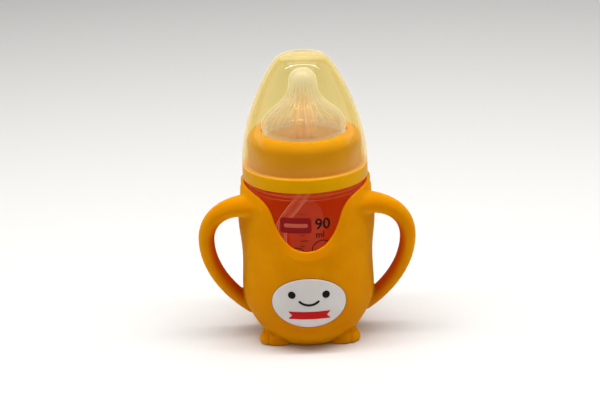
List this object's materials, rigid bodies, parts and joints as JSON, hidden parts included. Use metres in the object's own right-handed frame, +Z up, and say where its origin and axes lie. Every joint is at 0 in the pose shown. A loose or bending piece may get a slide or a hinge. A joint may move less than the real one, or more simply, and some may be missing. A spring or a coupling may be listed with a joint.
{
  "type": "baby bottle",
  "caption": "Wide-neck glass baby bottle with a straw teat, screw collar and dome cap, in a soft footed sleeve with side loop handles and a smiling oval badge.",
  "frame": {"origin": "on the bottle's axis at table height, the centre of the sleeve's flat base", "axes": "+Z up along the bottle's axis, the front with its window and badge looks towards -Y, the handles stand out along +X and -X"},
  "size_m": [0.1096, 0.0675, 0.1472],
  "materials": {
    "orange_silicone": "soft matte silicone",
    "orange_plastic": "satin moulded",
    "milky_plastic": "milky translucent",
    "clear_silicone": "translucent",
    "clear_plastic": "translucent",
    "clear_glass": "clear polished",
    "steel": "turned",
    "white_badge": "soft satin",
    "black_inlay": "soft satin",
    "red_inlay": "soft satin"
  },
  "bodies": {
    "sleeve": {"sleeve": "orange_silicone", "face_badge": "white_badge", "badge_eye_left": "black_inlay", "badge_eye_right": "black_inlay", "badge_smile": "black_inlay", "badge_ribbon": "red_inlay"},
    "bottle": {"glass_bottle": "clear_glass"},
    "teat": {"teat": "clear_silicone", "straw_connector": "clear_plastic"},
    "straw": {"straw_tube": "clear_silicone", "weight_shell_upper": "clear_plastic", "weight_shell_lower": "clear_plastic", "weight_core": "steel"},
    "collar": {"collar": "orange_plastic"},
    "cap": {"dust_cap": "milky_plastic"}
  },
  "joints": [
    {"name": "bottle_lift", "type": "slide", "parent": "sleeve", "child": "bottle", "axis": [0, 0, 1], "range_m": [0, 0.085]},
    {"name": "teat_lift", "type": "slide", "parent": "bottle", "child": "teat", "axis": [0, 0, 1], "range_m": [0, 0.0071]},
    {"name": "collar_turn", "type": "hinge", "parent": "teat", "child": "collar", "pos_m": [0, 0, 0.096], "axis": [0, 0, 1], "range_deg": [0, 630]},
    {"name": "straw_swing", "type": "hinge", "parent": "teat", "child": "straw", "pos_m": [0, 0, 0.11], "axis": [0, 0, 1], "continuous": true},
    {"name": "cap_pull", "type": "slide", "parent": "collar", "child": "cap", "axis": [0, 0, 1], "range_m": [0, 0.06]}
  ],
  "couplings": [
    {"joint": "teat_lift", "follows": "collar_turn", "m_per_rad": 0.00063662}
  ]
}
